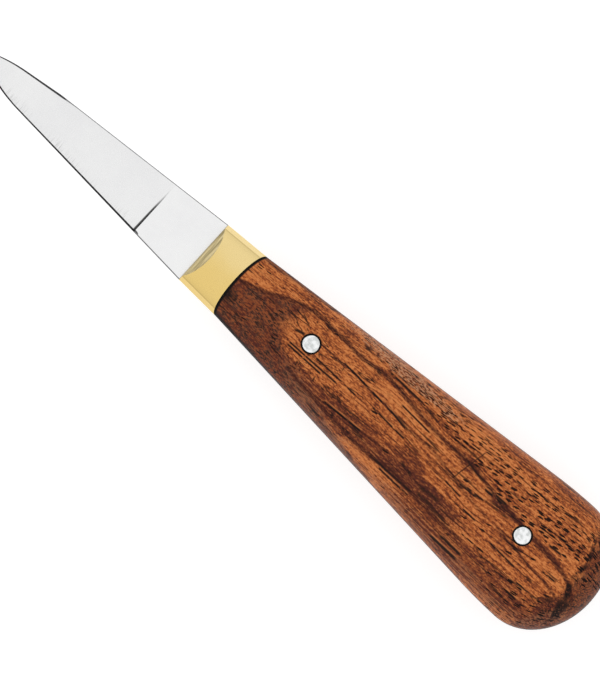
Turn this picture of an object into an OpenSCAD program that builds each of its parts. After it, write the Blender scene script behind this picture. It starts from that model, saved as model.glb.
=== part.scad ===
// A short fixed-blade knife: a steel blade with a full tang, two brass bolster halves, two thin
// black fibre spacers and two wooden scales, held by two steel rivets and two hidden dowels.
// It lies on its right side: +X runs to the point, +Y to the cutting edge, +Z off the surface.
// The origin is under the middle of the knife. All sizes are in millimetres.

/* [Blade] */
// Length of the blade in front of the bolster
blade_length = 60.8; // [50:0.1:80]
// Width of the blade where it leaves the bolster
blade_root_width = 14.7; // [12:0.1:18]
// Angle at which each side of the blade closes towards the point
blade_taper = 4.25; // [3:0.05:5]
// Thickness of the steel in the ricasso and the tang
stock = 2.5; // [1.6:0.1:4]
// Length of the unground ricasso
ricasso_length = 13.1; // [8:0.1:20]
// Distance behind the point at which the spine starts to drop
spine_drop_reach = 18.5; // [16:0.1:26]
// Angle of the dropping spine to the blade's axis
spine_drop_angle = 7.7; // [6:0.1:9]
// Distance behind the point at which the spine rounds off
spine_round_reach = 10; // [8:0.1:14]
// Distance behind the point at which the cutting edge rounds off
edge_round_reach = 14; // [10:0.1:18]

/* [Grinds] */
// Height of the flat grind over the cutting edge
grind_height = 11.8; // [9:0.1:13]
// Radius that the wheel leaves at the foot of the plunge
plunge_radius = 0.4; // [0.2:0.05:0.8]
// Thickness of the steel behind the sharpened edge
edge_thickness = 0.35; // [0.3:0.05:1]
// Thickness left at the very edge
edge_land = 0.08; // [0.04:0.02:0.2]
// Angle of each sharpened bevel to the middle plane
edge_angle = 22; // [12:1:30]
// Thickness left along the false edge on the dropping spine
false_edge_land = 0.5; // [0.3:0.05:0.7]
// Angle of each false-edge bevel to the middle plane
false_edge_angle = 56; // [50:1:72]

/* [Bolster] */
// Length of the bolster along its sides
bolster_length = 10; // [7:0.1:16]
// Thickness over both bolster halves at the blade
bolster_front_thickness = 9.2; // [7:0.1:14]
// Thickness over both bolster halves at the wood
bolster_rear_thickness = 10.2; // [8:0.1:16]
// Height of the bolster's upright front over the face of the tang
front_wall = 1.7; // [0.5:0.1:2.2]
// Length of the chamfer above that upright front
front_chamfer = 1.7; // [0.5:0.1:2.5]
// How far the joint with the wood leans forward at its crown
joint_lean = 1.8; // [0:0.1:2.5]
// Width of the bevels along the bolster's sides
side_bevel = 0.9; // [0.4:0.1:1.5]
// Thickness of the black spacer between brass and wood
spacer_thickness = 0.45; // [0.2:0.05:1]

/* [Handle] */
// Length of the handle with its bolster
handle_length = 104.2; // [85:0.1:130]
// Width of the handle at the joint with the bolster
joint_width = 15.6; // [13:0.1:19]
// Largest width of the handle, near the butt
grip_width = 29.5; // [24:0.1:36]
// Thickness of the handle from flat to flat
grip_thickness = 19.2; // [16:0.1:26]
// Height that each flat takes off the full round of its scale
flat_depth = 0.6; // [0.2:0.1:1.5]
// Length over which the handle swells from the bolster to its full thickness
swell_length = 38; // [20:1:50]
// Length over which the straight sides round into the widest place
shoulder_length = 10; // [5:0.5:20]
// Length of the rounded butt behind the widest place
butt_length = 12.2; // [8:0.1:20]
// Fullness of the handle's section: 2 is an ellipse, and more is squarer
fullness = 2.4; // [2:0.1:3]

/* [Rivets and dowels] */
// Diameter of the two steel rivets, which fill their holes
rivet_diameter = 3.7; // [2.5:0.1:5]
// Distance of the front rivet behind the bolster
front_rivet_setback = 18.2; // [8:0.1:25]
// Distance of the rear rivet from the end of the butt
rear_rivet_reach = 19.1; // [14:0.1:40]
// Distance of the rivets from the middle line, towards the spine
rivet_offset = 0.85; // [0:0.05:2]
// Diameter of the two hidden dowels, which fill their holes
dowel_diameter = 2; // [1.5:0.1:3]
// Depth to which a dowel enters each bolster half
dowel_depth = 1.8; // [1:0.1:2.2]
// Distance between the two dowels
dowel_spacing = 6.4; // [4:0.1:8]

/* [Hidden] */

point_steps = 12;     // segments in each rounded side of the point
section_steps = 24;   // segments round half a section of the handle
taper_step = 3;       // largest distance between sections along the taper
shoulder_steps = 4;   // sections along the shoulder
butt_steps = 9;       // sections along the rounded butt
last_butt_angle = 86; // angle of the last of those, where 90 is the end itself
round_fn = 96;        // facets that stand for a true round
margin = 10;          // how far a cutting body reaches past the material
overlap = 0.5;        // how far a body reaches past a plane that trims it

overall_length = blade_length + handle_length;
point_x = overall_length / 2;
root_x = point_x - blade_length;
butt_x = -overall_length / 2;
half_stock = stock / 2;
middle_z = grip_thickness / 2;
crown = middle_z + flat_depth;
bolster_front_rise = bolster_front_thickness / 2 - half_stock;
bolster_rear_rise = bolster_rear_thickness / 2 - half_stock;
joint_angle = atan2(joint_lean, bolster_rear_rise);
scale_front = bolster_length + spacer_thickness / cos(joint_angle);

function blend(from, to, share) = from + (to - from) * share;
function mirrored(points) = [for (p = points) [p.x, -p.y]];
function reversed(points) = [for (i = [len(points) - 1 : -1 : 0]) points[i]];

// --- Shape of the handle; "back" is a distance behind the bolster's front ---

widest = handle_length - butt_length;
shoulder = widest - shoulder_length;
side_slope = (grip_width - joint_width) / (2 * (widest - bolster_length) - shoulder_length);

// Share of the full size that is left on the rounded butt
function butt_share(back) = sqrt(max(0, 1 - pow(max(0, back - widest) / butt_length, 2)));

function half_width(back) =
  back <= bolster_length ? blend(blade_root_width, joint_width, back / bolster_length) / 2
  : back <= shoulder ? joint_width / 2 + side_slope * (back - bolster_length)
  : back <= widest ? grip_width / 2 - side_slope / shoulder_length / 2 * pow(widest - back, 2)
  : grip_width / 2 * butt_share(back);

// Share of the swelling that is reached, from 0 at the bolster to 1
function swell(back) =
  (1 - cos(180 * min(1, max(0, back - bolster_length) / swell_length))) / 2;

// Height of the round over the tang's face, before the flat is taken off
function rise(back) =
  back <= bolster_length ? blend(bolster_front_rise, bolster_rear_rise, back / bolster_length)
  : blend(bolster_rear_rise, crown - half_stock, swell(back)) * butt_share(back);

function section_fullness(back) = blend(2, fullness, swell(back));

// Height of the finished handle over the middle plane, on the rivets' line
function rivet_height(back) =
  let (n = section_fullness(back))
  min(middle_z, half_stock + rise(back) * pow(1 - pow(rivet_offset / half_width(back), n), 1 / n));

// Round outline of a scale across the handle, from the edge side to the spine side
function scale_section(back) =
  let (w = half_width(back), h = rise(back), power = 2 / section_fullness(back))
  [for (i = [0 : section_steps])
    let (a = 180 * i / section_steps, c = cos(a))
    [root_x - back, w * sign(c) * pow(abs(c), power), half_stock + h * pow(sin(a), power)]];

// Outline of a bolster half: a round top between two bevels
function bolster_section(back) =
  let (w = half_width(back), h = rise(back), corner = acos(1 - side_bevel / w))
  concat(
    [[root_x - back, w, half_stock]],
    [for (i = [0 : section_steps])
      let (a = blend(corner, 180 - corner, i / section_steps))
      [root_x - back, w * cos(a), half_stock + h * sin(a)]],
    [[root_x - back, -w, half_stock]]
  );

// Places of the sections, closest together where the outline bends most
taper_count = ceil((shoulder - bolster_length) / taper_step);
handle_stations = [
  for (i = [0 : taper_count]) blend(bolster_length, shoulder, i / taper_count),
  for (i = [1 : shoulder_steps]) blend(shoulder, widest, i / shoulder_steps),
  for (i = [1 : butt_steps]) widest + butt_length * sin(last_butt_angle * i / butt_steps)
];
joint_front_station = bolster_length - joint_lean - overlap;

// --- Outline of the blade and tang ---

// Points of the circle that leaves p at an angle and passes through q, without p itself
function arc_to(p, angle, q, steps) =
  let (
    half_sweep = atan2(q.y - p.y, q.x - p.x) - angle,
    radius = norm(q - p) / 2 / sin(half_sweep)
  )
  [for (i = [1 : steps])
    let (turned = angle + 2 * half_sweep * i / steps)
    p + radius * [sin(turned) - sin(angle), cos(angle) - cos(turned)]];

// Half the width of the blade at a distance behind its point, before the point is shaped
function blade_half(reach) = blade_root_width / 2 - (blade_length - reach) * tan(blade_taper);

point = [point_x, 0];
spine_drop = [point_x - spine_drop_reach, -blade_half(spine_drop_reach)];
spine_round = spine_drop
  + (spine_drop_reach - spine_round_reach) * [1, tan(spine_drop_angle)];
edge_round = [point_x - edge_round_reach, blade_half(edge_round_reach)];
plunge = [root_x + ricasso_length, blade_half(blade_length - ricasso_length)];
edge_start = plunge + plunge_radius * [1, -tan(blade_taper)];

edge_arc = arc_to(edge_round, -blade_taper, point, point_steps);
edge_line = concat([edge_start, edge_round], edge_arc);
false_edge_line = concat(
  [spine_drop, spine_round],
  arc_to(spine_round, spine_drop_angle, point, point_steps)
);
tang_side = concat(
  [[root_x, blade_root_width / 2]],
  [for (back = handle_stations) [root_x - back, half_width(back)]]
);
blade_outline = concat(
  false_edge_line,
  reversed([for (i = [0 : point_steps - 2]) edge_arc[i]]),
  [edge_round],
  tang_side,
  [[butt_x, 0]],
  reversed(mirrored(tang_side))
);

// --- Places of the pins ---

front_rivet_back = bolster_length + front_rivet_setback;
rear_rivet_back = handle_length - rear_rivet_reach;
function rivet_at(back) = [root_x - back, -rivet_offset];
dowel_x = root_x - (bolster_length - joint_lean / 2) / 2;
spine_dowel_at = [dowel_x, -dowel_spacing / 2];
edge_dowel_at = [dowel_x, dowel_spacing / 2];
dowel_reach = half_stock + dowel_depth;

// --- Shared bodies, drawn about the middle plane ---

// Lifts what is drawn about the middle plane to its place over the surface
module laid_down() translate([0, 0, middle_z]) children();

// Each half is drawn on the left and mirrored to the right
module right_side() mirror([0, 0, 1]) children();

// Straight pin or hole that reaches as far to both sides of the middle plane
module pin(at, diameter, reach)
  translate([at.x, at.y, -reach])
    cylinder(d = diameter, h = 2 * reach, $fn = round_fn);

// Triangles between a section and the next one, over their tops and under them
function skin(ring, size) =
  let (a = ring * size, b = a + size, end = size - 1)
  [
    for (i = [0 : end - 1]) each [[a + i, a + i + 1, b + i], [a + i + 1, b + i + 1, b + i]],
    [a, b, b + end],
    [a, b + end, a + end]
  ];

// Closed body through sections listed from front to back, ending flat or in the butt's tip
module lofted(sections, to_tip) {
  size = len(sections[0]);
  last = (len(sections) - 1) * size;
  tip = last + size;
  polyhedron(
    points = concat(
      [for (s = sections) each s],
      to_tip ? [[butt_x, 0, half_stock]] : []
    ),
    faces = concat(
      [[for (i = [size - 1 : -1 : 0]) i]],
      [for (ring = [0 : len(sections) - 2]) each skin(ring, size)],
      to_tip
        ? [for (i = [0 : size - 1]) [last + i, i == size - 1 ? last : last + i + 1, tip]]
        : [[for (i = [0 : size - 1]) last + i]]
    )
  );
}

// Everything behind the leaning joint plane that crosses the tang's face at "back"
module behind_joint(back) {
  reach = handle_length + margin;
  translate([root_x - back, 0, half_stock])
    rotate([0, joint_angle, 0])
      translate([-reach, -reach, -reach])
        cube([reach, 2 * reach, 3 * reach]);
}

// --- Cutting bodies of the blade, for its left face ---

// The flat grind: all above a plane that rises from the edge, ahead of the plunge
module flat_grind() {
  across = 2 * blade_root_width;
  slope = atan2(half_stock - edge_thickness / 2, grind_height);
  translate([plunge.x, plunge.y, edge_thickness / 2])
    rotate([0, 0, -blade_taper])
      rotate([-slope, 0, 0])
        rotate([0, 0, blade_taper])
          translate([0, margin, 0])
            rotate([90, 0, 0])
              linear_extrude(across + margin)
                difference() {
                  square([blade_length, margin]);
                  difference() {
                    square(plunge_radius);
                    translate([plunge_radius, plunge_radius])
                      circle(r = plunge_radius, $fn = round_fn);
                  }
                }
}

// All above a bevel plane through the line from p to q; side is 1 on the edge, -1 on the spine
module bevel(p, q, side, angle, foot, lead)
  translate([p.x, p.y, foot])
    rotate([0, 0, atan2(q.y - p.y, q.x - p.x)])
      rotate([-side * angle, 0, 0])
        translate([-lead, -margin, 0])
          cube([blade_length, 2 * margin, margin]);

module sharpened_edge()
  for (i = [0 : len(edge_line) - 2])
    bevel(edge_line[i], edge_line[i + 1], 1, edge_angle, edge_land / 2, i == 0 ? 0 : margin);

module false_edge()
  for (i = [0 : len(false_edge_line) - 2])
    bevel(
      false_edge_line[i], false_edge_line[i + 1], -1, false_edge_angle,
      false_edge_land / 2, margin
    );

// --- The pieces ---

module blade() laid_down() color("gainsboro")
  difference() {
    linear_extrude(stock, center = true) polygon(blade_outline);
    for (side = [0, 1]) mirror([0, 0, side]) {
      flat_grind();
      sharpened_edge();
      false_edge();
    }
    for (back = [front_rivet_back, rear_rivet_back]) pin(rivet_at(back), rivet_diameter, stock);
    for (at = [spine_dowel_at, edge_dowel_at]) pin(at, dowel_diameter, stock);
  }

// The chamfer over the bolster's upright front
module front_chamfer_cut()
  translate([root_x, 0, half_stock + front_wall])
    rotate([0, -atan2(front_chamfer, bolster_front_rise - front_wall), 0])
      translate([0, -margin, -margin])
        cube([margin, 2 * margin, 3 * margin]);

module bolster_half()
  difference() {
    lofted([for (back = [0, bolster_length]) bolster_section(back)], false);
    front_chamfer_cut();
    behind_joint(bolster_length);
    for (at = [spine_dowel_at, edge_dowel_at]) pin(at, dowel_diameter, dowel_reach);
  }

module left_bolster() laid_down() color("#e6cb81") bolster_half();
module right_bolster() laid_down() right_side() color("#e6cb81") bolster_half();

module dowel(at) laid_down() color("#d9bd74") pin(at, dowel_diameter, dowel_reach);
module spine_dowel() dowel(spine_dowel_at);
module edge_dowel() dowel(edge_dowel_at);

module spacer()
  difference() {
    intersection() {
      lofted(
        [for (back = [joint_front_station, bolster_length, scale_front + overlap])
          scale_section(back)],
        false
      );
      behind_joint(bolster_length);
    }
    behind_joint(scale_front);
  }

module left_spacer() laid_down() color("#181513") spacer();
module right_spacer() laid_down() right_side() color("#181513") spacer();

module wooden_scale()
  difference() {
    intersection() {
      lofted(
        [for (back = concat([joint_front_station], handle_stations)) scale_section(back)],
        true
      );
      behind_joint(scale_front);
    }
    translate([butt_x - margin, -grip_width, middle_z])
      cube([overall_length, 2 * grip_width, margin]);
    for (back = [front_rivet_back, rear_rivet_back])
      pin(rivet_at(back), rivet_diameter, crown + margin);
  }

module left_scale() laid_down() color("#9a5a3a") wooden_scale();
module right_scale() laid_down() right_side() color("#9a5a3a") wooden_scale();

// A rivet whose two ends are ground flush with the scales
module rivet(back) {
  radius = rivet_diameter / 2;
  front_height = rivet_height(back - radius);
  rear_height = rivet_height(back + radius);
  at = rivet_at(back);
  difference() {
    pin(at, rivet_diameter, crown + margin / 2);
    for (side = [0, 1]) mirror([0, 0, side])
      translate([at.x, at.y, (front_height + rear_height) / 2])
        rotate([0, atan2(rear_height - front_height, rivet_diameter), 0])
          translate([-margin, -margin, 0])
            cube([2 * margin, 2 * margin, 2 * margin]);
  }
}

module front_rivet() laid_down() color("#e3e5e4") rivet(front_rivet_back);
module rear_rivet() laid_down() color("#e3e5e4") rivet(rear_rivet_back);

blade();
left_bolster();
right_bolster();
spine_dowel();
edge_dowel();
left_spacer();
right_spacer();
left_scale();
right_scale();
front_rivet();
rear_rivet();
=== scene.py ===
import math

import bmesh
import bpy
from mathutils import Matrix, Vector


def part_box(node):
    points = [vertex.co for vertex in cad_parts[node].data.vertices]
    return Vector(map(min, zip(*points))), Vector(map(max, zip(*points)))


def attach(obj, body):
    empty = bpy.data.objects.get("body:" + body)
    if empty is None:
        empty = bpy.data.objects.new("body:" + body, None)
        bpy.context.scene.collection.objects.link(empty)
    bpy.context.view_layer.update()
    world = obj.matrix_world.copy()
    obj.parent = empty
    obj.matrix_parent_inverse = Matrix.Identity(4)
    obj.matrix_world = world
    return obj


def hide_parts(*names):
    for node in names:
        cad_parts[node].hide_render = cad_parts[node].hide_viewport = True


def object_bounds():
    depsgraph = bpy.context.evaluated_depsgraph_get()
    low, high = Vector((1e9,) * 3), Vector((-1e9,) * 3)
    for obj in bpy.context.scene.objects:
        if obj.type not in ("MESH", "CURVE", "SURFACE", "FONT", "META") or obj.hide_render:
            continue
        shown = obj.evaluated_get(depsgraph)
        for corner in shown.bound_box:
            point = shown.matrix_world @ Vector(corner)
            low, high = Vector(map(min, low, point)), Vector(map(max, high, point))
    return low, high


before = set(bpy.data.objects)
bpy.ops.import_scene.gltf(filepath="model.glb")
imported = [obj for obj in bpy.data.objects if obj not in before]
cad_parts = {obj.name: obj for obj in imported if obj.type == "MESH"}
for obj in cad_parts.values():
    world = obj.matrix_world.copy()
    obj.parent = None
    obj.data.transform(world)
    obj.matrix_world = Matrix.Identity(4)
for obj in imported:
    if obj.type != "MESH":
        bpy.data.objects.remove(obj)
for leftover in ("Cube", "Light", "Camera"):  # what a new file starts with
    if leftover in bpy.data.objects:
        bpy.data.objects.remove(bpy.data.objects[leftover])
cadLow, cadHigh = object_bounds()
print("frame loaded:", len(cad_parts), "nodes")

mm = 0.001  # shapes below are worked out in millimetres


def nodeBox(node):
    low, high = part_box(node)
    return Vector(low) / mm, Vector(high) / mm


bladeLow, bladeHigh = nodeBox("blade")
brassLow, brassHigh = nodeBox("left_bolster")
pointX, buttX = bladeHigh.x, bladeLow.x
rootX, jointX = brassHigh.x, brassLow.x
middleZ = (bladeLow.z + bladeHigh.z) / 2
halfStock = (bladeHigh.z - bladeLow.z) / 2
flatHeight = cadHigh.z / mm - middleZ
gripHalf = (bladeHigh.y - bladeLow.y) / 2
handleLength = rootX - buttX
bladeLength = pointX - rootX
bolsterLength = rootX - jointX

# ---- camera: almost straight down on the left side, the point up and to the left ----

shot = {
    "aim": (-5.2, 1.0),       # what the middle of the view looks at, mm
    "turn": 222.2,            # degrees about the line of sight
    "distance": 3000,         # mm above the middle plane
    "longSide": 138.6,        # mm that the view's long side covers at the middle plane
}

camera = bpy.data.objects.new("camera", bpy.data.cameras.new("camera"))
bpy.context.scene.collection.objects.link(camera)
bpy.context.scene.camera = camera
camera.data.sensor_width = 36
camera.data.lens = camera.data.sensor_width * shot["distance"] / shot["longSide"]
camera.data.clip_start, camera.data.clip_end = 0.05, 20
camera.location = Vector((*shot["aim"], middleZ + shot["distance"])) * mm
camera.rotation_euler = (0, 0, math.radians(shot["turn"]))
print("camera set")


# ---- shader helper ----

class Wire:
    # an output socket that can stand in sums with numbers and other wires

    def __init__(self, tree, socket=None):
        self.tree = tree
        self.socket = socket

    def node(self, kind, settings=None, inputs=None, out=0):
        made = self.tree.nodes.new(kind)
        for key, value in (settings or {}).items():
            if key == "stops":
                elements = made.color_ramp.elements
                elements[0].position, elements[-1].position = value[0][0], value[-1][0]
                elements[0].color, elements[-1].color = (*value[0][1], 1), (*value[-1][1], 1)
                for place, tone in value[1:-1]:
                    elements.new(place).color = (*tone, 1)
            elif key == "points":
                curve = made.mapping.curves[0]
                curve.points[0].location, curve.points[-1].location = value[0], value[-1]
                for place in value[1:-1]:
                    curve.points.new(*place)
                made.mapping.update()
            else:
                setattr(made, key, value)
        for key, value in (inputs or {}).items():
            if isinstance(value, Wire):
                self.tree.links.new(value.socket, made.inputs[key])
            else:
                made.inputs[key].default_value = value
        return Wire(self.tree, made.outputs[out])

    def maths(self, operation, *values):
        return self.node("ShaderNodeMath", {"operation": operation}, dict(enumerate(values)))

    def __add__(self, other):
        return self.maths("ADD", self, other)

    def __radd__(self, other):
        return self.maths("ADD", other, self)

    def __sub__(self, other):
        return self.maths("SUBTRACT", self, other)

    def __rsub__(self, other):
        return self.maths("SUBTRACT", other, self)

    def __mul__(self, other):
        return self.maths("MULTIPLY", self, other)

    def __rmul__(self, other):
        return self.maths("MULTIPLY", other, self)

    def __truediv__(self, other):
        return self.maths("DIVIDE", self, other)

    def __abs__(self):
        return self.maths("ABSOLUTE", self)


def ramp(value, low, high):
    # 0 below low and 1 above high; low may be the larger of the two
    settings = {"interpolation_type": "SMOOTHSTEP"}
    return value.node("ShaderNodeMapRange", settings, {0: value, 1: low, 2: high, 3: 0.0, 4: 1.0})


def asColour(tone):
    return tone if isinstance(tone, Wire) else (*tone, 1)


def blend(share, first, second):
    # mixes two colours, each a wire or a tuple of three
    settings = {"data_type": "RGBA", "blend_type": "MIX", "clamp_factor": True}
    return share.node("ShaderNodeMix", settings, {0: share, 6: asColour(first), 7: asColour(second)}, out=2)


def stretched(place, scale, detail=3.0, roughness=0.5, shift=0.0):
    # noise drawn out along the axes: scale is cycles a millimetre
    scaled = place.node("ShaderNodeVectorMath", {"operation": "MULTIPLY"}, {0: place, 1: scale})
    offset = (shift, shift * 1.7, shift * 0.6)
    moved = place.node("ShaderNodeVectorMath", {"operation": "ADD"}, {0: scaled, 1: offset})
    sockets = {"Vector": moved, "Scale": 1.0, "Detail": detail, "Roughness": roughness}
    return place.node("ShaderNodeTexNoise", None, sockets)


def startFinish(name):
    # a new material: its wire, its shader node, and the place on the piece in millimetres
    finish = bpy.data.materials.new(name)
    finish.use_nodes = True
    wire = Wire(finish.node_tree)
    shader = finish.node_tree.nodes["Principled BSDF"]
    where = wire.node("ShaderNodeTexCoord", out="Object")
    place = wire.node("ShaderNodeVectorMath", {"operation": "SCALE"}, {0: where, "Scale": 1 / mm})
    return finish, wire, shader, place


def feed(wire, shader, **sockets):
    for name, value in sockets.items():
        socket = shader.inputs[name.replace("_", " ")]
        if isinstance(value, Wire):
            wire.tree.links.new(value.socket, socket)
        else:
            socket.default_value = value


def axes(place):
    return [place.node("ShaderNodeSeparateXYZ", None, {0: place}, out=i) for i in range(3)]


# ---- steel ----

steel = {
    "tone": (0.855, 0.855, 0.855),
    "shade": (0.815, 0.815, 0.82),
    "ground": 0.965,          # the ground faces' tone, as a share of the flat's
    "filed": (0.20, 0.20, 0.205),  # the narrow sides and their corners, darkened as painted shade
    # near-black tone of the whetted bevels and the false edge: painted shade
    "honed": (0.026, 0.026, 0.027),
    "plungeShade": (0.035, 0.035, 0.035),
    "pinShade": (0.62, 0.64, 0.63),
    "pinTone": (0.92, 0.93, 0.93),
    "bolsterShadow": (0.20, 0.18, 0.13),  # painted shadow where the flat meets the bolster
    "roughness": 0.27,
    "marks": 0.50,            # how plain the wheel marks by the cutting edge are
}


def steelFinish(name, ground):
    finish, wire, shader, place = startFinish(name)
    x, y = axes(place)[:2]
    cloud = stretched(place, (0.09, 0.09, 0.09), 4)
    mottle = stretched(place, (0.8, 0.8, 0.8), 3)
    dim = steel["ground"] if ground else 1.0
    low, high = (tuple(v * dim for v in steel[key]) for key in ("shade", "tone"))
    tone = blend(ramp(cloud * 0.7 + mottle * 0.3, 0.30, 0.66), low, high)
    lines = stretched(place, (5.0, 0.22, 0.22) if ground else (0.3, 6.0, 6.0), 3, 0.6)
    rough = steel["roughness"] + (mottle - 0.5) * 0.14
    if ground:
        # wheel marks run across, in clusters beside the edge
        cluster = ramp(stretched(place, (0.12, 0.02, 0.02), 2, 0.5, 3.0), 0.38, 0.52)
        ragged = (stretched(place, (2.4, 0.1, 0.1), 2, 0.5, 8.0) - 0.5) * 3.6
        nearEdge = ramp(y + x * 0.0743 + ragged, 6.6, 8.8)
        marks = ramp(lines, 0.50, 0.64) * nearEdge * (cluster * 0.75 + 0.25)
        tone = blend(marks * steel["marks"], tone, (0.30, 0.30, 0.30))
        # painted shade lies in the foot of the plunge, most of it at the edge
        foot = ramp(x - y * 0.024, plungeX + 0.52, plungeX + 0.30) * ramp(y, -3.8, 0.8)
        tone = blend(foot * 0.96, tone, steel["plungeShade"])
    else:
        # painted shadow on the flat beside the bolster's front wall
        bolsterShadow = ramp(x, rootX + 0.17, rootX + 0.02)
        tone = blend(bolsterShadow * 0.75, tone, steel["bolsterShadow"])
    # painted shade at the foot of the plunge, by the cutting edge
    corner = ramp(oval(x, y, (plungeX - 0.15, 6.35), (0.95, 0.55)), 1.15, 0.6)
    tone = blend(corner * 0.95, tone, steel["plungeShade"])
    bump = wire.node("ShaderNodeBump", None, {"Strength": 0.05, "Distance": 0.0001, "Height": lines})
    feed(wire, shader, Base_Color=tone, Metallic=1.0, Roughness=rough, Normal=bump)
    return finish


def edgeFinish(name, base, rough):
    # for the narrow sides, filed lengthwise, and for the whetted bevels; their dark base tones are painted
    # shade
    finish, wire, shader, place = startFinish(name)
    lines = stretched(place, (0.5, 5.0, 7.0), 3)
    cloud = stretched(place, (0.3, 0.8, 0.8), 2)
    share = ramp(lines * 0.6 + cloud * 0.4, 0.36, 0.64)
    tone = blend(share, tuple(v * 0.75 for v in base), tuple(v * 1.25 for v in base))
    bump = wire.node("ShaderNodeBump", None, {"Strength": 0.08, "Distance": 0.0001, "Height": lines})
    feed(wire, shader, Base_Color=tone, Metallic=1.0, Roughness=rough + (cloud - 0.5) * 0.15, Normal=bump)
    return finish


def pinFinish():
    finish, wire, shader, place = startFinish("filedPin")
    cloud = stretched(place, (1.1, 1.1, 1.1), 4)
    scratch = stretched(place, (2.0, 7.0, 2.0), 2, 0.5, 4.0)
    tone = blend(ramp(cloud, 0.36, 0.62), steel["pinShade"], steel["pinTone"])
    bump = wire.node("ShaderNodeBump", None, {"Strength": 0.12, "Distance": 0.0001, "Height": scratch})
    feed(wire, shader, Base_Color=tone, Metallic=1.0, Roughness=0.34 + (cloud - 0.5) * 0.2, Normal=bump)
    return finish


# ---- brass ----

brass = {
    "tone": (0.775, 0.565, 0.200),
    "pale": (0.815, 0.635, 0.290),
    "tarnish": (0.55, 0.38, 0.14),
    "bevelShade": (0.42, 0.30, 0.11),  # painted shade on the fine line where a side bevel starts
    "filedDark": (0.52, 0.415, 0.205),
    "filedPale": (1.0, 0.83, 0.46),
    "roughness": 0.2,
}


def brassFinish():
    finish, wire, shader, place = startFinish("polishedBrass")
    x, y = axes(place)[:2]
    cloud = stretched(place, (0.12, 0.16, 0.12), 4)
    tarnish = stretched(place, (1.4, 2.6, 1.4), 3, 0.6, 2.0)
    side = ramp(y, 5.0, -8.0)  # paler towards the spine: painted light on the side the light falls on
    tone = blend(ramp(side * 0.6 + cloud * 0.6, 0.25, 0.85), brass["tone"], brass["pale"])
    tone = blend(ramp(tarnish, 0.60, 0.78) * 0.25, tone, brass["tarnish"])
    # painted shade along the start of each side bevel
    bevelShade = abs(abs(y) - 6.35 + (x - rootX) * 0.045)
    tone = blend(ramp(bevelShade, 0.20, 0.05) * 0.32, tone, brass["bevelShade"])
    lines = stretched(place, (0.35, 6.5, 6.5), 2)
    bump = wire.node("ShaderNodeBump", None, {"Strength": 0.05, "Distance": 0.0001, "Height": lines})
    rough = brass["roughness"] + ramp(tarnish, 0.4, 0.8) * 0.12
    feed(wire, shader, Base_Color=tone, Metallic=1.0, Roughness=rough, Normal=bump)
    return finish


def facetFinish():
    # the chamfer towards the blade is filed across and left duller
    finish, wire, shader, place = startFinish("filedBrass")
    lines = stretched(place, (1.9, 0.10, 0.10), 3, 0.6, 6.0)
    tone = blend(ramp(lines, 0.38, 0.62), brass["filedDark"], brass["filedPale"])
    bump = wire.node("ShaderNodeBump", None, {"Strength": 0.12, "Distance": 0.0001, "Height": lines})
    feed(wire, shader, Base_Color=tone, Metallic=1.0, Roughness=0.33, Normal=bump)
    return finish


def fibreFinish():
    finish, wire, shader, place = startFinish("blackFibre")
    grain = stretched(place, (3.0, 3.0, 3.0), 3)
    tone = blend(ramp(grain, 0.3, 0.7), (0.002, 0.0018, 0.0016), (0.006, 0.005, 0.0045))
    feed(wire, shader, Base_Color=tone, Roughness=0.6 + (grain - 0.5) * 0.2, Specular_IOR_Level=0.08)
    return finish


# ---- wood ----

wood = {
    "dark": (0.105, 0.024, 0.010),
    "brown": (0.235, 0.058, 0.018),
    "body": (0.400, 0.106, 0.026),
    "light": (0.610, 0.205, 0.060),
    "zone": (0.078, 0.017, 0.011),      # the dark patches
    "umber": (0.080, 0.034, 0.022),     # behind the bolster and at the butt
    "vein": (0.046, 0.009, 0.006),
    "ink": (0.006, 0.003, 0.003),
    # tone of the painted highlight just above the sides
    "rim": (0.330, 0.140, 0.070),
    "speck": (0.470, 0.240, 0.130),
    "bandSpread": 0.80,
    "streakSpread": 0.62,
    "threadSpread": 1.15,
    "fleckSpread": 0.22,
    "fineSpread": 1.75,
    "shine": 0.09,
}

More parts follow.
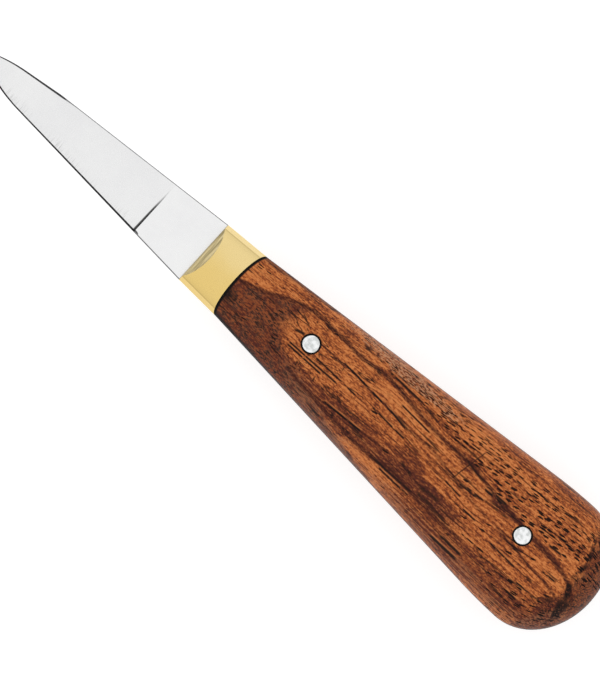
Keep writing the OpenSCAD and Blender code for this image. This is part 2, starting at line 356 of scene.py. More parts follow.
# what runs through the left scale, in millimetres: veins as points along the grain
leftFigure = {
    "veins": [
        {"width": 0.50, "depth": 0.85, "points": [
            (14, -0.6), (8, -2.2), (3, -4.4), (-2, -5.9), (-9, -6.1), (-16, -5.7), (-22, -6.3),
            (-30, -5.3), (-38, -4.5), (-46, -4.4), (-53, -3.4), (-60, -2.5), (-68, -1.7),
            (-74, -0.7), (-78, 1.0), (-81, 4.5)]},
        {"width": 0.30, "depth": 0.75, "points": [
            (-57, 1.2), (-62, 1.8), (-68, 2.7), (-73, 3.2), (-78, 4.2)]},
        {"width": 0.45, "depth": 0.80, "points": [
            (-6, 5.8), (-14, 6.8), (-20, 7.3), (-27, 7.7), (-36, 7.3), (-45, 8.0), (-56, 8.2)]},
        {"width": 0.24, "depth": 0.85, "points": [
            (-9, 6.9), (-16, 6.2), (-21, 5.6), (-27, 5.3), (-33, 4.6)]},
        {"width": 0.22, "depth": 0.90, "points": [
            (-5, -2.3), (-11, -2.2), (-17, -2.3), (-22, -1.9), (-27, -1.7), (-32, -0.9)]},
        {"width": 0.30, "depth": 0.60, "points": [
            (-24, -2.2), (-32, -1.4), (-40, -1.2), (-49, 0.6), (-57, 1.2)]},
    ],
    # soft dark patches: middle, half sizes, depth
    "patches": [
        ((-6.0, 6.6), (12.0, 3.2), 0.80),
        ((-20, 6.3), (19, 2.8), 0.72),
        ((-41, 6.2), (13, 2.6), 1.0),
        ((-36.5, 3.6), (4.5, 2.0), 0.60),
        ((-60, 10.6), (26, 3.2), 0.62),
        ((-46, -4.2), (3.2, 1.5), 0.65),
        ((-57.5, -2.5), (5.5, 1.2), 0.85),
        ((-69, -1.6), (5.0, 0.8), 0.70),
        ((-77.0, 7.4), (3.0, 3.4), 0.95),
    ],
    # inky lines, from one end to the other, and their width
    "lines": [
        ((-3.0, 1.7), (-15.5, 1.6), 0.22), ((-3.0, 2.3), (-12.0, 2.3), 0.22),
        ((-9.0, 0.5), (-20.0, 0.8), 0.20), ((-24.0, 0.3), (-33.0, 0.7), 0.21),
        ((-2.0, -0.9), (-4.6, -1.5), 0.33), ((-48.5, -0.5), (-53.0, -0.8), 0.24),
        ((-47.0, -0.1), (-51.5, -0.3), 0.21), ((-44.5, 1.4), (-49.0, 1.7), 0.20),
        ((-51.0, 3.2), (-54.5, 3.3), 0.20), ((-59.5, 4.6), (-66.5, 4.9), 0.22),
        ((-51.0, 10.2), (-57.0, 10.3), 0.30), ((-49.5, 11.5), (-57.0, 11.6), 0.33),
        ((-67.5, 9.5), (-71.0, 9.5), 0.27), ((-68.5, 6.9), (-72.0, 6.8), 0.20),
        ((-33.0, 8.4), (-41.0, 8.6), 0.20), ((-54.0, 7.0), (-60.0, 6.9), 0.18),
        ((-51.0, -2.6), (-56.5, -2.9), 0.30), ((-53.0, -3.2), (-57.0, -3.3), 0.27),
        ((-68.5, -3.0), (-71.8, -3.2), 0.26), ((-71.0, 1.8), (-74.5, 1.6), 0.24),
        ((-28.0, -4.0), (-36.0, -3.6), 0.21), ((-22.0, -7.3), (-31.0, -7.1), 0.24),
        ((-14.0, -2.5), (-22.0, -2.0), 0.21), ((-20.0, -2.1), (-28.0, -1.5), 0.22),
        ((-27.0, -1.7), (-32.5, -0.9), 0.24), ((-16.0, 5.9), (-25.5, 5.4), 0.23),
    ],
    # near-black smears with no pale thread
    "smears": [
        ((-41.5, 5.6), (-46.5, 5.3), 0.62), ((-35.5, 4.6), (-39.0, 5.2), 0.42),
        ((-30.0, 7.8), (-41.0, 7.7), 0.36), ((-42.0, 6.9), (-50.0, 7.4), 0.40),
        ((-45.0, -4.6), (-50.5, -3.6), 0.34), ((-53.0, -1.0), (-59.0, -1.4), 0.36),
        ((-46.9, -8.2), (-45.3, 0.0), 0.20), ((-6.8, 3.4), (-7.0, 4.6), 0.26),
        ((-11.5, 3.4), (-11.7, 4.6), 0.24), ((13.2, 1.3), (12.2, 4.1), 0.95),
        ((-77.6, 3.0), (-79.0, 7.6), 0.75), ((-76.6, 0.0), (-78.4, 3.0), 0.50),
    ],
    # near-black marks with ragged edges
    "marks": [
        ((12.6, 1.6), (11.8, 4.0), 1.25), ((-14.5, -7.9), (-16.4, -8.0), 0.32),
        ((-76.6, 4.4), (-75.0, 5.9), 0.55), ((-76.4, -0.6), (-78.9, 2.6), 0.50),
        ((-78.7, 2.2), (-79.2, 7.4), 0.62), ((-77.0, -5.4), (-76.4, -0.8), 0.38),
        ((-74.6, -10.4), (-76.9, -5.6), 0.36), ((3.6, 3.4), (3.9, 2.8), 0.5),
    ],
    "speckled": ((-25.0, -9.3), (15.0, 1.4)),
    "front": 0.92,
    "shift": 0.0,
}

rightFigure = {
    "veins": [
        {"width": 0.50, "depth": 0.85, "points": [
            (14, 3.2), (4, 2.4), (-6, 3.8), (-18, 4.6), (-30, 3.6), (-44, 4.2), (-58, 6.0), (-72, 6.2),
            (-80, 3.0)]},
        {"width": 0.36, "depth": 0.75, "points": [
            (10, -4.0), (-4, -5.4), (-20, -5.0), (-38, -6.8), (-55, -6.0), (-74, -4.2)]},
        {"width": 0.24, "depth": 0.85, "points": [(-12, 0.4), (-26, 0.9), (-40, 0.1), (-52, 0.8)]},
    ],
    "patches": [
        ((5.0, -3.0), (9.0, 4.0), 0.75),
        ((-34, 6.5), (15, 3.0), 0.80),
        ((-55, -9.8), (20, 3.2), 0.55),
        ((-79.0, -3.0), (4.5, 9.0), 0.80),
    ],
    "lines": [
        ((-2.0, -1.6), (-13.0, -1.9), 0.15), ((-20.0, 2.2), (-31.0, 2.6), 0.15),
        ((-44.0, -2.5), (-52.0, -2.8), 0.16), ((-60.0, 2.6), (-67.0, 3.0), 0.15),
    ],
    "smears": [((-30.0, 5.2), (-38.0, 5.8), 0.45), ((-16.0, -6.2), (-24.0, -6.0), 0.30)],
    "marks": [((-21.0, -1.5), (-23.5, -1.7), 0.45), ((9.0, 4.6), (7.6, 5.0), 0.6)],
    "speckled": ((-30.0, 9.4), (14.0, 1.2)),
    "front": 0.5,
    "shift": 31.0,
}


def oval(x, y, middle, size):
    # 0 in the middle, 1 on the rim
    dx, dy = (x - middle[0]) / size[0], (y - middle[1]) / size[1]
    return dx * dx + dy * dy


def segment(x, y, start, end, width, rag):
    # 1 on a straight stroke, fading over its width and past its ends
    length = math.dist(start, end)
    ux, uy = (end[0] - start[0]) / length, (end[1] - start[1]) / length
    along = x * ux + y * uy - (start[0] * ux + start[1] * uy)
    off = abs(y * ux - x * uy - (start[1] * ux - start[0] * uy) + rag)
    past = abs(along - length / 2) - length / 2
    return ramp(off, width, width * 0.35) * ramp(past, width, -width * 1.5)


def veinHeight(x, vein):
    # the vein's y for an x, from a smooth curve through its points
    places = sorted(vein["points"])
    x0, x1 = places[0][0], places[-1][0]
    points = [((px - x0) / (x1 - x0), 0.5 + py / 32) for px, py in places]
    curve = x.node("ShaderNodeFloatCurve", {"points": points}, {"Value": (x - x0) / (x1 - x0)})
    return (curve - 0.5) * 32


def strongest(masks):
    top = masks[0]
    for mask in masks[1:]:
        top = top.maths("MAXIMUM", top, mask)
    return top


def woodFinish(name, figure):
    finish, wire, shader, place = startFinish(name)
    shift = figure["shift"]
    x, y, z = axes(place)
    height = abs(z - middleZ)
    around = y * ((flatHeight - height) * 0.11 + 1)  # y on the flat, and on down the sides

    # the grain wanders a little from the straight
    wander = stretched(place, (0.035, 0.09, 0.09), 2, 0.5, shift + 5)
    drift = (wander - 0.5) * 5.0
    ripple = (stretched(place, (0.10, 0.4, 0.4), 2, 0.5, shift + 9) - 0.5) * 0.6
    bent = wire.node("ShaderNodeCombineXYZ", None, {0: x, 1: y + drift + ripple, 2: z + drift * 0.6})

    bands = stretched(bent, (0.018, 0.34, 0.34), 3, 0.5, shift)
    streaks = stretched(bent, (0.045, 1.25, 1.25), 2, 0.5, shift + 2)
    threads = stretched(bent, (0.055, 2.7, 2.7), 2, 0.5, shift + 6)
    fleck = stretched(place, (0.8, 1.5, 1.5), 3, 0.6, shift + 3)
    fine = stretched(place, (1.5, 3.6, 3.6), 2, 0.6, shift + 4)
    rag = (threads - 0.5) + (fleck - 0.5) * 1.2 + (streaks - 0.5) * 0.6

    # dark patches, their rims broken up by the grain
    patch = strongest([
        ramp(oval(x, y, middle, size) + rag * 0.8, 1.3, 0.3) * depth
        for middle, size, depth in figure["patches"]
    ])
    value = (bands - 0.5) * wood["bandSpread"] + (streaks - 0.5) * wood["streakSpread"]
    value = value + (threads - 0.5) * wood["threadSpread"] + (fleck - 0.5) * wood["fleckSpread"]
    value = value + (fine - 0.5) * wood["fineSpread"] + 0.565 - patch * 0.15
    tone = wire.node("ShaderNodeValToRGB", {"stops": [
        (0.20, wood["dark"]), (0.38, wood["brown"]), (0.57, wood["body"]), (0.84, wood["light"])
    ]}, {0: value})
    tone = blend(patch * (0.80 - (fine - 0.5) * 1.6), tone, wood["zone"])

    # darker wood at both ends, with the front one bounded by the first vein; at the butt it is partly end
    # grain, partly painted shade where the end rounds down
    firstVein = veinHeight(x, figure["veins"][0])
    swirl = stretched(place, (0.5, 0.5, 0.5), 3, 0.6, shift + 17)
    back = x + y * y * 0.05 + y * y.maths("MAXIMUM", y, 0.0) * 0.20 + rag * 1.6 + (swirl - 0.5) * 5.0
    front = ramp(back, -1.6, 1.4) * ramp(y - firstVein + rag * 0.5, -0.3, 0.8)
    spread = (x + 64) * (x + 64) + y * y * 0.42
    rear = ramp(spread.maths("SQRT", spread) + rag * 1.2 + (swirl - 0.5) * 3.5, 12.4, 13.8)
    rear = rear * ramp(x, -66, -70)
    ends = (front * figure["front"]).maths("MAXIMUM", front * figure["front"], rear * 0.86)
    mottled = blend(ramp(swirl, 0.42, 0.60), wood["umber"], wood["zone"])
    mottled = blend(ramp(fine + (threads - 0.5) * 0.5, 0.47, 0.60) * 0.85, mottled, wood["brown"])
    mottled = blend(ramp(fine + (swirl - 0.5) * 0.9, 0.44, 0.30) * 0.8, mottled, wood["ink"])
    tone = blend(ends, tone, mottled)

    # painted highlight: a paler rim just above the sides
    sideSheen = ramp(height, 8.2, 7.0) * ramp(height, 4.4, 5.4)
    sideSheen = sideSheen * ramp(y, 3.0, 6.0) * ramp(x, 2.0, -14.0)
    tone = blend(sideSheen * ramp(threads, 0.44, 0.58) * 0.45, tone, wood["rim"])
    # a speckled strip near the spine
    strip = ramp(oval(x, y, *figure["speckled"]) + rag, 1.3, 0.5)
    tone = blend(strip * ramp(fine, 0.46, 0.58) * 0.85, tone, wood["speck"])
    tone = blend(strip * ramp(fine + (fleck - 0.5) * 0.5, 0.44, 0.36) * 0.8, tone, wood["ink"])

    # painted shade along the tang, most of it on the edge side; darker wood beside the spacer
    tone = blend(ramp(height, 3.6, 2.0) * 0.78, tone, wood["vein"])
    tone = blend(ramp(height, 3.1, 2.4) * ramp(y, 0.0, 2.0) * 0.95, tone, wood["ink"])
    lead = x + spacerRun - jointX - (height - halfStock) * math.tan(jointAngle)
    tone = blend(ramp(lead + (fine - 0.5) * 0.3, -0.24, -0.06) * 0.9, tone, wood["ink"])

    # long dark veins
    veins = []
    for line in figure["veins"]:
        start, end = max(line["points"])[0], min(line["points"])[0]
        off = abs(y + ripple * 0.35 - veinHeight(x, line))
        body = ramp(off + (threads - 0.5) * 0.55, line["width"] * 1.45, line["width"] * 0.25)
        veins.append(body * ramp(x, start + 0.5, start - 2) * ramp(x, end - 0.5, end + 2) * line["depth"])
    tone = blend(strongest(veins) * (1.0 - (fine - 0.5) * 1.4), tone, wood["vein"])

    # inky lines where long pores lie open, each with a pale thread beside it
    broken = ramp(stretched(place, (0.45, 0.9, 0.9), 2, 0.5, shift + 21), 0.34, 0.44)
    beside = strongest([segment(x, y + 0.36, *line, ripple * 0.25) for line in figure["lines"]])
    tone = blend(beside * broken * 0.45, tone, wood["light"])
    inky = strongest([
        segment(x, y, start, end, width * 1.3, ripple * 0.25) for start, end, width in figure["lines"]
    ])
    contour = stretched(bent, (0.024, 1.05, 1.05), 1, 0.4, shift + 12)
    breaks = ramp(stretched(place, (0.11, 0.50, 0.50), 2, 0.5, shift + 14), 0.42, 0.54)
    faint = ramp(abs(contour - 0.5), 0.040, 0.010) * breaks
    inky = (inky * broken).maths("MAXIMUM", inky * broken, faint * 0.84)
    tone = blend(inky * 0.95, tone, wood["ink"])
    smears = strongest([segment(x, y, *line, ripple * 0.25 + rag * 0.30) for line in figure["smears"]])
    tone = blend(smears * ramp(fine + (fleck - 0.5) * 0.4, 0.34, 0.50) * 0.85, tone, wood["ink"])

    # short open pores, thickest towards the spine and the butt
    cells = wire.node("ShaderNodeCombineXYZ", None, {0: x * 0.44, 1: (around - x * 0.17) * 1.45, 2: shift})
    settings = {"voronoi_dimensions": "2D", "feature": "F1"}
    sockets = {"Vector": cells, "Scale": 1.0}
    near = wire.node("ShaderNodeTexVoronoi", settings, sockets, out="Distance")
    pick = wire.node("ShaderNodeTexVoronoi", settings, sockets, out="Color")
    chance = pick.node("ShaderNodeSeparateColor", None, {0: pick})
    crowd = ramp(y + x * 0.114 + 10.6, 0.9, -0.9) * ramp(y, -12.2, -10.4) * ramp(x, -12.0, -36.0) * 0.62
    crowd = crowd + ramp(x, -62.0, -68.0) * ramp(y, 5.5, 8.0) * 0.35 + 0.025
    pore = ramp(near + (fine - 0.5) * 0.12, 0.36, 0.27) * ramp(chance - crowd, 0.02, -0.02)
    tone = blend(pore * 0.97, tone, wood["ink"])

    tatter = rag + (swirl - 0.5) * 4.0 + (fine - 0.5) * 2.0
    marks = strongest([
        segment(x + tatter * 0.4, y, start, end, width * 1.7, tatter * width * 1.2)
        for start, end, width in figure["marks"]
    ])
    tone = blend(marks * ramp(fine + (fleck - 0.5) * 0.6, 0.36, 0.52) * 0.92, tone, wood["ink"])

    relief = threads * 0.35 + fleck * 0.2 - pore * 0.9 - inky * 0.6
    bump = wire.node("ShaderNodeBump", None, {"Strength": 0.35, "Distance": 0.00012, "Height": relief})
    rough = 0.44 + (fleck - 0.5) * 0.25 + pore * 0.3
    feed(wire, shader, Base_Color=tone, Roughness=rough, Normal=bump, Specular_IOR_Level=wood["shine"])
    return finish


# ---- shape of the handle; back is the distance behind the bolster's front ----

handle = {
    "rootWidth": 14.7,
    "jointWidth": 15.6,
    "frontThickness": 9.2,
    "rearThickness": 10.2,
    "flatDepth": 0.6,         # what the flat takes off the round
    "swellLength": 38.0,
    "shoulderLength": 10.0,
    "buttLength": 12.2,
    "fullness": 2.4,
    "flatSoftness": 0.12,     # how gently the round meets the flat
}
frontRise = handle["frontThickness"] / 2 - halfStock
rearRise = handle["rearThickness"] / 2 - halfStock
fullRise = flatHeight + handle["flatDepth"] - halfStock
widest = handleLength - handle["buttLength"]
shoulder = widest - handle["shoulderLength"]
sideRun = 2 * (widest - bolsterLength) - handle["shoulderLength"]
sideSlope = (2 * gripHalf - handle["jointWidth"]) / sideRun


def mixed(low, high, share):
    return low + (high - low) * share


def buttShare(back):
    return math.sqrt(max(0, 1 - (max(0, back - widest) / handle["buttLength"]) ** 2))


def halfWidth(back):
    if back <= bolsterLength:
        return mixed(handle["rootWidth"], handle["jointWidth"], back / bolsterLength) / 2
    if back <= shoulder:
        return handle["jointWidth"] / 2 + sideSlope * (back - bolsterLength)
    if back <= widest:
        return gripHalf - sideSlope / handle["shoulderLength"] / 2 * (widest - back) ** 2
    return gripHalf * buttShare(back)


def swell(back):
    run = min(1, max(0, back - bolsterLength) / handle["swellLength"])
    return (1 - math.cos(math.pi * run)) / 2


def rise(back):
    if back <= bolsterLength:
        return mixed(frontRise, rearRise, back / bolsterLength)
    return mixed(rearRise, fullRise, swell(back)) * buttShare(back)


def settled(height):
    # eases a height over the middle plane under the flat
    soft = handle["flatSoftness"]
    return flatHeight - soft * math.log1p(math.exp((flatHeight - height) / soft))


# ---- mesh helpers ----

def span(low, high, steps, ends=True):
    return [mixed(low, high, i / steps) for i in range(0 if ends else 1, steps + 1)]


def loft(mesh, rows, tip=None):
    # closed body through rows of points; each row is an arch whose two ends join underneath
    rings = [[mesh.verts.new(p) for p in row] for row in rows]
    for one, two in zip(rings, rings[1:]):
        for i in range(len(one) - 1):
            mesh.faces.new((one[i], one[i + 1], two[i + 1], two[i]))
        mesh.faces.new((one[-1], one[0], two[0], two[-1]))
    mesh.faces.new(list(reversed(rings[0])))
    if tip is None:
        mesh.faces.new(rings[-1])
    else:
        end = mesh.verts.new(tip)
        last = rings[-1]
        for i in range(len(last)):
            mesh.faces.new((last[i], last[(i + 1) % len(last)], end))


def trim(mesh, point, normal):
    # takes off what lies on the normal's side of a plane, and closes the cut
    cut = bmesh.ops.bisect_plane(
        mesh, geom=mesh.verts[:] + mesh.edges[:] + mesh.faces[:], dist=1e-5,
        plane_co=point, plane_no=normal, clear_outer=True,
    )
    rim = [part for part in cut["geom_cut"] if isinstance(part, bmesh.types.BMEdge)]
    bmesh.ops.holes_fill(mesh, edges=rim)


def turnOver(mesh):
    # mirrors a left half about the middle plane
    for vert in mesh.verts:
        vert.co.z = 2 * middleZ - vert.co.z


def addPiece(name, mesh, finishes, replaced=(), sharp=30, ease=0.0):
    bmesh.ops.recalc_face_normals(mesh, faces=mesh.faces[:])
    for vert in mesh.verts:
        vert.co *= mm
    data = bpy.data.meshes.new(name)
    mesh.to_mesh(data)
    mesh.free()
    for finish in finishes:
        data.materials.append(finish)
    data.shade_smooth()
    data.set_sharp_from_angle(angle=math.radians(sharp))
    piece = bpy.data.objects.new(name, data)
    bpy.context.scene.collection.objects.link(piece)
    if ease:
        bevel = piece.modifiers.new("easedEdges", "BEVEL")
        bevel.width = ease * mm
        bevel.segments = 2
        bevel.limit_method = "ANGLE"
        bevel.angle_limit = math.radians(sharp)
        bevel.harden_normals = False
    weigh = piece.modifiers.new("flatFaces", "WEIGHTED_NORMAL")
    weigh.keep_sharp = True
    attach(piece, "root")
    if replaced:
        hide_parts(*replaced)
    return piece


# ---- blade and tang ----

blade = {
    "taper": 4.25,            # degrees that each side closes in
    "ricasso": 13.1,
    "dropReach": 18.5,        # where the spine drops, behind the point
    "dropAngle": 7.7,
    "spineRound": 10.0,
    "edgeRound": 14.0,
    "grindHeight": 11.8,
    "plungeRadius": 0.4,
    "edgeThickness": 0.35,
    "edgeLand": 0.08,
    "edgeAngle": 22.0,
    "falseLand": 0.5,
    "falseAngle": 56.0,
    "corner": 0.16,           # rounding of the plain corners
    "edgeCorner": 0.24,
    "honedFront": 0.65,       # the whetted bevel's width at the point, as a share of that at the plunge
}


def bladeHalf(reach):
    return handle["rootWidth"] / 2 - (bladeLength - reach) * math.tan(math.radians(blade["taper"]))


def arcThrough(p, angle, q):
    # the circle that leaves p at an angle and passes through q, as y for an x
    chord = math.atan2(q[1] - p[1], q[0] - p[0])
    radius = math.dist(p, q) / 2 / math.sin(chord - angle)
    cx, cy = p[0] - radius * math.sin(angle), p[1] + radius * math.cos(angle)

    def arc(x):
        return cy - math.copysign(math.sqrt(max(0, radius ** 2 - (x - cx) ** 2)), radius)

    return arc


dropX = pointX - blade["dropReach"]
spineRoundX = pointX - blade["spineRound"]
edgeRoundX = pointX - blade["edgeRound"]
plungeX = rootX + blade["ricasso"]
dropTan = math.tan(math.radians(blade["dropAngle"]))
spineRoundY = -bladeHalf(blade["dropReach"]) + (spineRoundX - dropX) * dropTan
spineArc = arcThrough((spineRoundX, spineRoundY), math.radians(blade["dropAngle"]), (pointX, 0))
edgeArc = arcThrough(
    (edgeRoundX, bladeHalf(blade["edgeRound"])), -math.radians(blade["taper"]), (pointX, 0)
)


def edgeY(x):
    return edgeArc(x) if x > edgeRoundX else bladeHalf(pointX - x)


def spineY(x):
    if x > spineRoundX:
        return spineArc(x)
    return -bladeHalf(blade["dropReach"]) + (x - dropX) * dropTan if x > dropX else -bladeHalf(pointX - x)


def plainSection(x, half):
    # unground steel: flat faces with a small round at each corner
    c, d = (min(blade[key], half / 3) for key in ("corner", "edgeCorner"))
    inner = [mixed(half - d, -half + c, share) for share in (0.25, 0.45, 0.62, 0.76, 0.88)]
    side = [(half, halfStock - d), (half - d, halfStock)]
    side += [(y, halfStock) for y in inner]
    side += [(-half + c, halfStock), (-half, halfStock - c)]
    return bothSides(x, side)


def bothSides(x, side):
    left = [(x, y, middleZ + z) for y, z in side]
    right = [(x, y, middleZ - z) for y, z in reversed(side)]
    return left + right


def groundSection(x, raised=0.0):
    # raised lifts the grind within the round at the foot of the plunge
    e, s = edgeY(x), spineY(x)
    line = bladeHalf(pointX - x)
    slope = (halfStock - blade["edgeThickness"] / 2) / blade["grindHeight"]

    def face(y):
        return min(halfStock, blade["edgeThickness"] / 2 + raised + (line - y) * slope)

    width = e - s
    honed = math.tan(math.radians(blade["edgeAngle"]))
    land = blade["edgeLand"] / 2
    bevel = (blade["edgeThickness"] / 2 - land + (line - e) * slope) / (honed - slope)
    share = mixed(1, blade["honedFront"], min(1, max(0, (x - plungeX) / (pointX - 12 - plungeX))))
    bevel = min(bevel * share, width * 0.25)
    steep = math.tan(math.radians(blade["falseAngle"]))
    foot = blade["falseLand"] / 2 + max(0, dropX - x) * 0.13
    false = (face(s) - foot) / (steep + slope)
    false = min(max(false, blade["corner"]), width * 0.2)
    spineFoot = face(s + false) - blade["corner"]
    if false > blade["corner"]:
        spineFoot = min(spineFoot, foot)
    spineFoot = max(spineFoot, land)
    top = line - (halfStock - blade["edgeThickness"] / 2 - raised) / slope
    inner, outer = e - bevel, s + false
    land = max(land, face(inner) - bevel * honed)
    top = min(max(top, outer + (inner - outer) * 0.06), inner - (inner - outer) * 0.06)
    side = [(e, land), (inner, face(inner))]
    side += [(y, face(y)) for y in (mixed(inner, top, share) for share in (0.3, 0.6, 0.85))]
    side += [(top, face(top)), (mixed(top, outer, 0.5), face(mixed(top, outer, 0.5)))]
    side += [(outer, face(outer)), (s, spineFoot)]
    return bothSides(x, side)


def buildBlade():
    mesh = bmesh.new()
    rows = []
    tangEnd = [buttX + handle["buttLength"] * (1 - math.sin(math.radians(a))) for a in range(88, 0, -4)]
    for x in tangEnd:
        rows.append(plainSection(x, halfWidth(rootX - x)))
    for x in span(rootX - widest, jointX, 44):
        rows.append(plainSection(x, halfWidth(rootX - x)))
    for x in span(jointX, rootX, 4, ends=False):
        rows.append(plainSection(x, halfWidth(rootX - x)))
    for x in span(rootX, plungeX, 6, ends=False):
        rows.append(plainSection(x, bladeHalf(pointX - x)))
    radius = blade["plungeRadius"]
    for angle in span(0, 90, 8):
        lean = math.radians(angle)
        rows.append(groundSection(
            plungeX + radius * (1 - math.cos(lean)) + 1e-4, radius * (1 - math.sin(lean))
        ))
    for x in span(plungeX + radius, dropX - 6, 12, ends=False):
        rows.append(groundSection(x))
    for x in span(dropX - 6, edgeRoundX, 16, ends=False):
        rows.append(groundSection(x))
    for x in span(edgeRoundX, pointX - 2, 24, ends=False):
        rows.append(groundSection(x))
    for reach in (1.6, 1.25, 0.95, 0.7, 0.48, 0.3, 0.16, 0.06):
        rows.append(groundSection(pointX - reach))
    rings = [[mesh.verts.new(p) for p in row] for row in rows]
    count = len(rings[0])
    half = count // 2
    for one, two in zip(rings, rings[1:]):
        for i in range(count):
            j = (i + 1) % count
            face = mesh.faces.new((one[i], one[j], two[j], two[i]))
            middle = face.calc_center_median()
            # the whetted bevels and the false edge take the near-black tone, painted shade
            whetted = i in (0, count - 2, count - 1) and middle.x > plungeX
            falseEdge = i in (half - 2, half - 1, half) and middle.x > pointX - 20
            if whetted or falseEdge:
                face.material_index = 2
            elif i in (0, half - 2, half - 1, half, count - 2, count - 1):
                face.material_index = 3
            elif middle.x > plungeX - 0.01:
                face.material_index = 1
    for ring, tip in ((rings[0], (buttX, 0, middleZ)), (rings[-1], (pointX, 0, middleZ))):
        end = mesh.verts.new(tip)
        for i in range(count):
            face = mesh.faces.new((ring[i], ring[(i + 1) % count], end))
            face.material_index = 3 if tip[0] < 0 else 2
    finishes = [satinSteel, groundSteel, honedEdgeShade, filedSteelShade]
    return addPiece("blade_and_tang", mesh, finishes, ["blade"], sharp=12)


groundSteel = steelFinish("groundSteel", True)
satinSteel = steelFinish("satinSteel", False)
filedSteelShade = edgeFinish("filedSteelShade", steel["filed"], 0.36)
honedEdgeShade = edgeFinish("honedEdgeShade", steel["honed"], 0.30)
filedPin = pinFinish()
polishedBrass = brassFinish()
filedBrass = facetFinish()
blackFibre = fibreFinish()
print("finishes made")

buildBlade()
print("blade built")


# ---- bolster, spacers and scales ----

joint = {
    "lean": 1.8,              # how far the joint leans forward at its crown
    "spacer": 0.45,
    "frontWall": 1.7,
    "chamfer": 1.7,
    "sideBevel": 0.9,
    "archSteps": 72,
}
jointAngle = math.atan2(joint["lean"], rearRise)
jointNormal = Vector((math.cos(jointAngle), 0, -math.sin(jointAngle)))  # forward and down
spacerRun = joint["spacer"] / math.cos(jointAngle)


def jointPoint(extra=0.0):
    return Vector((jointX - extra, 0, middleZ + halfStock))


def scaleRow(back):
    w, h = halfWidth(back), rise(back)
    power = 2 / mixed(2, handle["fullness"], swell(back))
    row = []
    for a in span(0, math.pi, joint["archSteps"]):
        c, s = math.cos(a), max(0, math.sin(a))
        z = settled(halfStock + h * s ** power) if 0 < a < math.pi - 1e-9 else halfStock
        row.append((rootX - back, w * math.copysign(abs(c) ** power, c), middleZ + z))
    return row


def bolsterRow(back):
    w, h = halfWidth(back), rise(back)
    corner = math.acos(1 - joint["sideBevel"] / w)
    arch = [(w * math.cos(a), h * math.sin(a)) for a in span(corner, math.pi - corner, joint["archSteps"])]
    side = [(w, 0), (mixed(w, arch[0][0], 0.5), arch[0][1] * 0.5)]
    flat = side + arch + [(-y, z) for y, z in reversed(side)]
    return [(rootX - back, y, middleZ + halfStock + z) for y, z in flat]


def buildBolster(name, right):
    mesh = bmesh.new()
    loft(mesh, [bolsterRow(back) for back in span(0, bolsterLength, 12)])
    trim(mesh, jointPoint(), -jointNormal)
    slant = math.atan2(joint["chamfer"], frontRise - joint["frontWall"])
    wall = Vector((rootX, 0, middleZ + halfStock + joint["frontWall"]))
    trim(mesh, wall, Vector((math.cos(slant), 0, math.sin(slant))))
    mesh.normal_update()
    for face in mesh.faces:
        tilted = abs(face.normal.x) > 0.4 and abs(face.normal.z) > 0.4
        if tilted and face.calc_center_median().x > rootX - joint["chamfer"]:
            face.material_index = 1
    if right:
        turnOver(mesh)
    finishes = [polishedBrass, filedBrass]
    return addPiece(name + "_brass", mesh, finishes, [name], sharp=18, ease=0.08)


def buildSpacer(name, right):
    mesh = bmesh.new()
    backs = span(bolsterLength - joint["lean"] - 0.5, bolsterLength, 8)
    backs += span(bolsterLength, bolsterLength + 0.8, 2, ends=False)
    loft(mesh, [scaleRow(back) for back in backs])
    trim(mesh, jointPoint(), jointNormal)
    trim(mesh, jointPoint(spacerRun), -jointNormal)
    if right:
        turnOver(mesh)
    return addPiece(name + "_plate", mesh, [blackFibre], [name])


# ---- rivets ----

rivet = {
    "ring": 0.27,             # width of the dark ring round each head
    "sink": 0.03,             # how far the ring lies under the wood
    "dome": 0.05,
    "wobble": 0.03,           # share by which a head is out of round
}
rivetSpots = {}
for node in ("front_rivet", "rear_rivet"):
    low, high = nodeBox(node)
    rivetSpots[node] = ((low + high) / 2, (high.x - low.x) / 2)


def surfaceHeight(x, y):
    # height of a scale over the middle plane
    back = rootX - x
    n = mixed(2, handle["fullness"], swell(back))
    arch = rise(back) * (1 - (abs(y) / halfWidth(back)) ** n) ** (1 / n)
    return settled(halfStock + arch)


def headPlane(node):
    # height at the middle of the head, and its slope along the knife
    middle, radius = rivetSpots[node]
    front = surfaceHeight(middle.x + radius, middle.y)
    rear = surfaceHeight(middle.x - radius, middle.y)
    return (front + rear) / 2, (front - rear) / radius / 2


def disc(mesh, node, radii, drop, side, seed=0.0):
    # rings of points on a head's plane, from the rim inwards; drop gives each ring's height
    middle, radius = rivetSpots[node]
    height, slope = headPlane(node)
    rings = []
    for r, lift in zip(radii, drop):
        ring = []
        for i in range(64):
            a = 2 * math.pi * i / 64
            out = 1
            if r < radius + 0.01:
                uneven = math.sin(3 * a + seed) * 0.5 + math.sin(5 * a + 2 * seed) * 0.3
                out += rivet["wobble"] * uneven
            dx, dy = r * out * math.cos(a), r * out * math.sin(a)
            z = height + slope * dx + lift
            ring.append(mesh.verts.new((middle.x + dx, middle.y + dy, middleZ + side * z)))
        rings.append(ring)
    return rings


def bridge(mesh, one, two):
    for i in range(len(one)):
        j = (i + 1) % len(one)
        mesh.faces.new((one[i], one[j], two[j], two[i]))


def buildRivet(node, seed):
    middle, radius = rivetSpots[node]
    mesh = bmesh.new()
    shrunk = radius - rivet["wobble"] * radius * 0.6
    radii = [shrunk, shrunk - 0.04, shrunk - 0.12, shrunk * 0.75, shrunk * 0.45, shrunk * 0.15]
    drop = [-0.08, -0.02, 0.0] + [rivet["dome"] * share for share in (0.45, 0.85, 1.0)]
    drop = [lift - rivet["dome"] - 0.005 for lift in drop]
    ends = []
    for side in (1, -1):
        rings = disc(mesh, node, radii, drop, side, seed * side)
        for one, two in zip(rings, rings[1:]):
            bridge(mesh, one, two)
        mesh.faces.new(rings[-1])
        ends.append(rings[0])
    bridge(mesh, ends[0], ends[1])
    return addPiece(node + "_pin", mesh, [filedPin], [node], sharp=40)


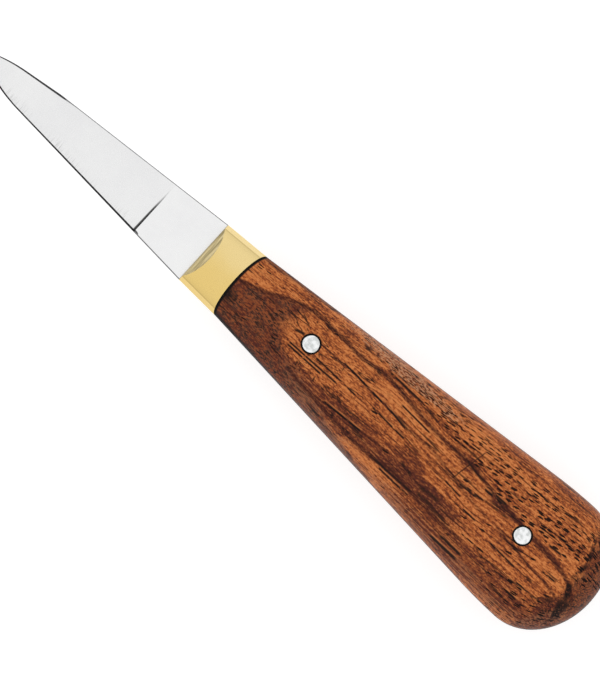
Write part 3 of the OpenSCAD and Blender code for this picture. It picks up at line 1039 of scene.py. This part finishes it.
def buildRing(node, side):
    # a dark ring between a rivet and the wood
    middle, radius = rivetSpots[node]
    mesh = bmesh.new()
    inner, outer = radius * (1 - rivet["wobble"] * 1.6) - 0.05, radius + rivet["ring"]
    rings = disc(mesh, node, [inner, inner + 0.02, outer], [-0.6, -rivet["sink"], -rivet["sink"]], side)
    rings += disc(mesh, node, [outer], [-0.6], side)
    for one, two in zip(rings, rings[1:] + rings[:1]):
        bridge(mesh, one, two)
    name = node + ("_left_filler" if side > 0 else "_right_filler")
    return addPiece(name, mesh, [blackFibre])


def drill(piece):
    # bores the rivets' holes, a little wide for the dark ring
    for middle, radius in rivetSpots.values():
        cutter = bpy.data.meshes.new("cutter")
        mesh = bmesh.new()
        bmesh.ops.create_cone(
            mesh, segments=64, radius1=(radius + rivet["ring"]) * mm, radius2=(radius + rivet["ring"]) * mm,
            depth=0.06, cap_ends=True,
        )
        bmesh.ops.translate(mesh, verts=mesh.verts[:], vec=(middle.x * mm, middle.y * mm, middleZ * mm))
        mesh.to_mesh(cutter)
        mesh.free()
        tool = bpy.data.objects.new("cutter", cutter)
        bpy.context.scene.collection.objects.link(tool)
        hole = piece.modifiers.new("hole", "BOOLEAN")
        hole.object = tool
        hole.operation = "DIFFERENCE"
        hole.solver = "EXACT"
        piece.modifiers.move(len(piece.modifiers) - 1, 0)
        bpy.context.view_layer.update()
        weigh = piece.modifiers["flatFaces"]
        weigh.show_viewport = weigh.show_render = False
        drilled = bpy.data.meshes.new_from_object(
            piece.evaluated_get(bpy.context.evaluated_depsgraph_get())
        )
        weigh.show_viewport = weigh.show_render = True
        piece.modifiers.remove(hole)
        piece.data = drilled
        bpy.data.objects.remove(tool)
    piece.data.set_sharp_from_angle(angle=math.radians(30))


def buildScale(name, finish, right):
    mesh = bmesh.new()
    backs = span(bolsterLength - joint["lean"] - 0.5, bolsterLength, 4)
    backs += span(bolsterLength, shoulder, 96, ends=False) + span(shoulder, widest, 12, ends=False)
    backs += [widest + handle["buttLength"] * math.sin(math.radians(a)) for a in range(4, 89, 4)]
    loft(mesh, [scaleRow(back) for back in backs], tip=(buttX, 0, middleZ + halfStock))
    trim(mesh, jointPoint(spacerRun), jointNormal)
    if right:
        turnOver(mesh)
    piece = addPiece(name + "_wood", mesh, [finish], [name])
    drill(piece)
    return piece


buildBolster("left_bolster", False)
buildBolster("right_bolster", True)
buildSpacer("left_spacer", False)
buildSpacer("right_spacer", True)
print("bolster built")
buildScale("left_scale", woodFinish("leftWood", leftFigure), False)
buildScale("right_scale", woodFinish("rightWood", rightFigure), True)
print("scales built")
buildRivet("front_rivet", 0.7)
buildRivet("rear_rivet", 2.1)
for node in rivetSpots:
    buildRing(node, 1)
    buildRing(node, -1)
print("rivets built")

for node in ("spine_dowel", "edge_dowel"):  # hidden in the bolster
    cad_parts[node].data.materials.clear()
    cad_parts[node].data.materials.append(polishedBrass)


# ---- table and light ----

studio = {
    "tableSize": 12.0,        # m
    "tableGlow": 0.72,        # the table glows, so that it stays pale under the knife
    "tableTone": (0.42, 0.42, 0.42),
    "zenith": 1.02,
    "ends": 0.48,             # towards the point and the butt, low down
    "sides": 0.88,            # to either side, low down
}


def buildTable():
    mesh = bmesh.new()
    half = studio["tableSize"] / 2
    corners = ((-half, -half), (half, -half), (half, half), (-half, half))
    mesh.faces.new([mesh.verts.new((cx, cy, 0)) for cx, cy in corners])
    data = bpy.data.meshes.new("table")
    mesh.to_mesh(data)
    mesh.free()
    table = bpy.data.objects.new("table", data)
    bpy.context.scene.collection.objects.link(table)
    finish, wire, shader, place = startFinish("paleTable")
    feed(wire, shader, Base_Color=asColour(studio["tableTone"]), Roughness=0.9, Specular_IOR_Level=0.0)
    feed(wire, shader, Emission_Color=(1, 1, 1, 1), Emission_Strength=studio["tableGlow"])
    data.materials.append(finish)
    table.location.z = -0.00002


def lightSky():
    # a tent: bright overhead and to the sides, greyer low down past the two ends
    world = bpy.data.worlds.new("tent")
    bpy.context.scene.world = world
    world.use_nodes = True
    wire = Wire(world.node_tree)
    way = wire.node("ShaderNodeTexCoord", out="Generated")
    x, y, z = axes(way)
    across = x * x + y * y + 0.0001
    flat = across.maths("SQRT", across)
    sideways = ramp(abs(y / flat), 0.25, 0.85)
    low = sideways * (studio["sides"] - studio["ends"]) + studio["ends"]
    up = ramp(z, 0.05, 0.75)
    level = up * (studio["zenith"] - low) + low
    tone = wire.node("ShaderNodeCombineColor", None, {0: level, 1: level, 2: level})
    back = world.node_tree.nodes["Background"]
    wire.tree.links.new(tone.socket, back.inputs["Color"])
    back.inputs["Strength"].default_value = 1.0


buildTable()
lightSky()
bpy.context.scene.view_settings.view_transform = "Standard"
print("table and light set")
